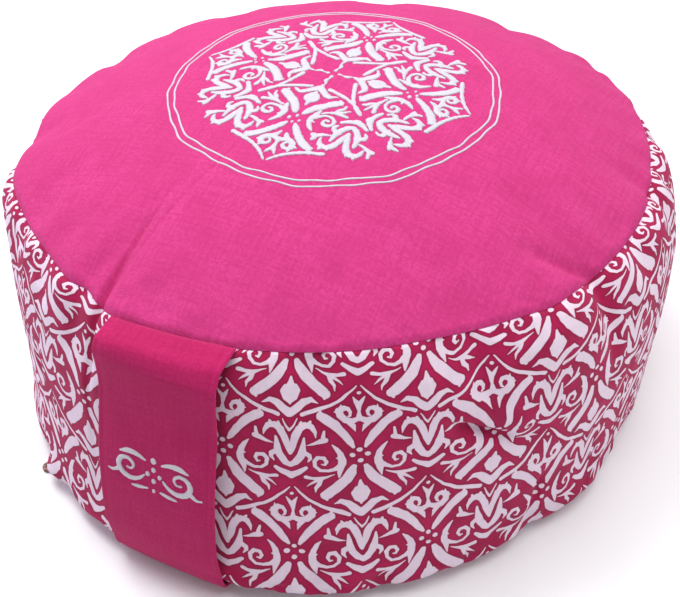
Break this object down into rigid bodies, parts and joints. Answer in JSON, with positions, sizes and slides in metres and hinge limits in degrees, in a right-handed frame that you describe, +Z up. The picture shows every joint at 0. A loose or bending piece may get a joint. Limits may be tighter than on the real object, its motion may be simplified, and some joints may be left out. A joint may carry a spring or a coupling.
{
  "type": "meditation cushion",
  "caption": "Round, firmly filled floor cushion with a crowned top panel, a printed side band, a flat base and a carry strap down its side.",
  "frame": {"origin": "middle of the base panel's flat underside", "axes": "+Z up through the crown; -Y out through the middle of the carry strap; +X to the right when the strap is in front"},
  "size_m": [0.3592, 0.3817, 0.1795],
  "materials": {
    "printed_cotton": "plain-weave cotton, printed in off-white on deep pink",
    "plain_cotton": "matt plain-weave cotton, hot pink",
    "strap_cotton": "matt plain-weave cotton, hot pink, topstitched edges",
    "white_thread": "satin-stitched embroidery thread",
    "pull_metal": "dark antique brown"
  },
  "bodies": {
    "root": {"filled_band": "printed_cotton", "top_panel": "plain_cotton", "base_panel": "plain_cotton", "carry_strap": "strap_cotton", "zip_pull": "pull_metal"}
  },
  "joints": []
}
